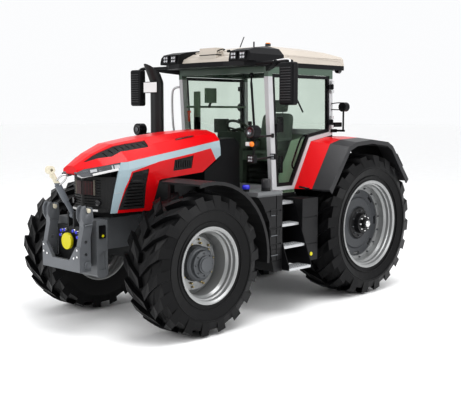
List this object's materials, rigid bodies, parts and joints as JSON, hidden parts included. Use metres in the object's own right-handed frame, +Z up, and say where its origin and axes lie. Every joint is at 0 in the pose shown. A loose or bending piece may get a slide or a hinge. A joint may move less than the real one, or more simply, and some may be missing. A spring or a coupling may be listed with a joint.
{
  "type": "farm tractor",
  "caption": "Four-wheel farm tractor with sloping hood, glazed cab, lugged tyres, front lift yoke and rear three-point linkage.",
  "frame": {"origin": "middle of the tractor's box, at ground level", "axes": "+X forward, +Y to the driver's left, +Z up"},
  "size_m": [5.2478, 2.78, 3.2169],
  "materials": {
    "red_paint": "gloss",
    "silver_paint": "satin metallic",
    "charcoal_plastic": "matte",
    "black_plastic": "matte",
    "black_paint": "satin",
    "grey_casting": "painted matte",
    "tyre_rubber": "matte",
    "rim_silver": "satin",
    "hub_grey": "painted satin",
    "tinted_glass": "clear tinted",
    "roof_white": "gloss",
    "lamp_clear": "clear",
    "seat_fabric": "woven",
    "step_metal": "brushed",
    "link_grey": "satin"
  },
  "bodies": {
    "chassis": {"rear_fenders": "red_paint", "cab_frame": "silver_paint", "fender_extensions": "charcoal_plastic", "cowl": "black_plastic", "cab_floor": "black_plastic", "roof_frame": "black_plastic", "dash": "black_plastic", "armrest_console": "black_plastic", "mirrors": "black_plastic", "fuel_tank": "black_plastic", "right_tank": "black_plastic", "steps": "black_plastic", "work_lamps": "black_plastic", "exhaust_stack": "black_paint", "cooling_pack": "black_paint", "front_axle": "black_paint", "front_lift_frame": "black_paint", "rear_hitch_frame": "black_paint", "gearbox_housing": "grey_casting", "rear_axle": "grey_casting", "engine_block": "grey_casting", "front_frame": "grey_casting", "windscreen": "tinted_glass", "rear_window": "tinted_glass", "roof_panel": "roof_white", "roof_receiver": "roof_white", "seat": "seat_fabric", "step_treads": "step_metal"},
    "knuckle_left": {"knuckle_left": "black_paint"},
    "front_fender_left": {"front_fender_left": "black_plastic"},
    "front_wheel_left": {"front_tyre_left": "tyre_rubber", "front_rim_left": "rim_silver", "front_hub_left": "hub_grey"},
    "rear_wheel_left": {"rear_tyre_left": "tyre_rubber", "rear_rim_left": "rim_silver", "rear_hub_left": "hub_grey"},
    "door_left": {"door_left": "black_plastic", "door_glass_left": "tinted_glass"},
    "knuckle_right": {"knuckle_right": "black_paint"},
    "front_fender_right": {"front_fender_right": "black_plastic"},
    "front_wheel_right": {"front_tyre_right": "tyre_rubber", "front_rim_right": "rim_silver", "front_hub_right": "hub_grey"},
    "rear_wheel_right": {"rear_tyre_right": "tyre_rubber", "rear_rim_right": "rim_silver", "rear_hub_right": "hub_grey"},
    "door_right": {"door_right": "black_plastic", "door_glass_right": "tinted_glass"},
    "hood": {"hood_shell": "red_paint", "hood_band": "silver_paint", "hood_grilles": "black_plastic", "headlamps": "lamp_clear"},
    "front_yoke": {"front_lift_yoke": "black_paint"},
    "front_link": {"front_top_link": "link_grey"},
    "rockers": {"rear_rockers": "black_paint"},
    "lift_rods": {"lift_rods": "black_paint"},
    "lower_links": {"lower_links": "black_paint"},
    "rear_link": {"rear_top_link": "black_paint"}
  },
  "joints": [
    {"name": "steer_left", "type": "hinge", "parent": "chassis", "child": "knuckle_left", "pos_m": [1.45112, 0.735, 0.75], "axis": [0, 0, 1], "range_deg": [-35, 35]},
    {"name": "fender_turn_left", "type": "hinge", "parent": "chassis", "child": "front_fender_left", "pos_m": [1.45112, 0.735, 0.92], "axis": [0, 0, 1], "range_deg": [-12.25, 12.25]},
    {"name": "front_spin_left", "type": "hinge", "parent": "knuckle_left", "child": "front_wheel_left", "pos_m": [1.45112, 0.924, 0.75], "axis": [0, 1, 0], "continuous": true},
    {"name": "rear_spin_left", "type": "hinge", "parent": "chassis", "child": "rear_wheel_left", "pos_m": [-1.42888, 0.845, 0.9], "axis": [0, 1, 0], "continuous": true},
    {"name": "door_swing_left", "type": "hinge", "parent": "chassis", "child": "door_left", "pos_m": [-1.07688, 0.788, 2.4], "axis": [0, 0, 1], "range_deg": [0, 75]},
    {"name": "steer_right", "type": "hinge", "parent": "chassis", "child": "knuckle_right", "pos_m": [1.45112, -0.735, 0.75], "axis": [0, 0, 1], "range_deg": [-35, 35]},
    {"name": "fender_turn_right", "type": "hinge", "parent": "chassis", "child": "front_fender_right", "pos_m": [1.45112, -0.735, 0.92], "axis": [0, 0, 1], "range_deg": [-12.25, 12.25]},
    {"name": "front_spin_right", "type": "hinge", "parent": "knuckle_right", "child": "front_wheel_right", "pos_m": [1.45112, -0.924, 0.75], "axis": [0, 1, 0], "continuous": true},
    {"name": "rear_spin_right", "type": "hinge", "parent": "chassis", "child": "rear_wheel_right", "pos_m": [-1.42888, -0.845, 0.9], "axis": [0, 1, 0], "continuous": true},
    {"name": "door_swing_right", "type": "hinge", "parent": "chassis", "child": "door_right", "pos_m": [-1.07688, -0.788, 2.4], "axis": [0, 0, -1], "range_deg": [0, 75]},
    {"name": "hood_tilt", "type": "hinge", "parent": "chassis", "child": "hood", "pos_m": [0.55612, 0, 2.075], "axis": [0, -1, 0], "range_deg": [0, 52]},
    {"name": "front_lift", "type": "hinge", "parent": "chassis", "child": "front_yoke", "pos_m": [2.38612, 0, 0.77], "axis": [0, 1, 0], "range_deg": [0, 95]},
    {"name": "front_link_swing", "type": "hinge", "parent": "chassis", "child": "front_link", "pos_m": [2.30612, 0, 1.25], "axis": [0, 1, 0], "range_deg": [0, 70]},
    {"name": "rear_lift", "type": "hinge", "parent": "chassis", "child": "rockers", "pos_m": [-1.75888, 0, 1.29], "axis": [0, 1, 0], "range_deg": [-16, 36]},
    {"name": "lift_rod_swing", "type": "hinge", "parent": "rockers", "child": "lift_rods", "pos_m": [-2.05888, 0, 1.25], "axis": [0, 1, 0], "range_deg": [-36, 16]},
    {"name": "lower_link_swing", "type": "hinge", "parent": "chassis", "child": "lower_links", "pos_m": [-1.68888, 0, 0.56], "axis": [0, 1, 0], "range_deg": [-12.96, 29.16]},
    {"name": "rear_link_swing", "type": "hinge", "parent": "chassis", "child": "rear_link", "pos_m": [-1.85888, 0, 1.08], "axis": [0, -1, 0], "range_deg": [0, 100]}
  ],
  "couplings": [
    {"joint": "steer_right", "follows": "steer_left", "ratio": 1},
    {"joint": "fender_turn_left", "follows": "steer_left", "ratio": 0.35},
    {"joint": "fender_turn_right", "follows": "steer_left", "ratio": 0.35},
    {"joint": "lift_rod_swing", "follows": "rear_lift", "ratio": -1},
    {"joint": "lower_link_swing", "follows": "rear_lift", "ratio": 0.81}
  ]
}
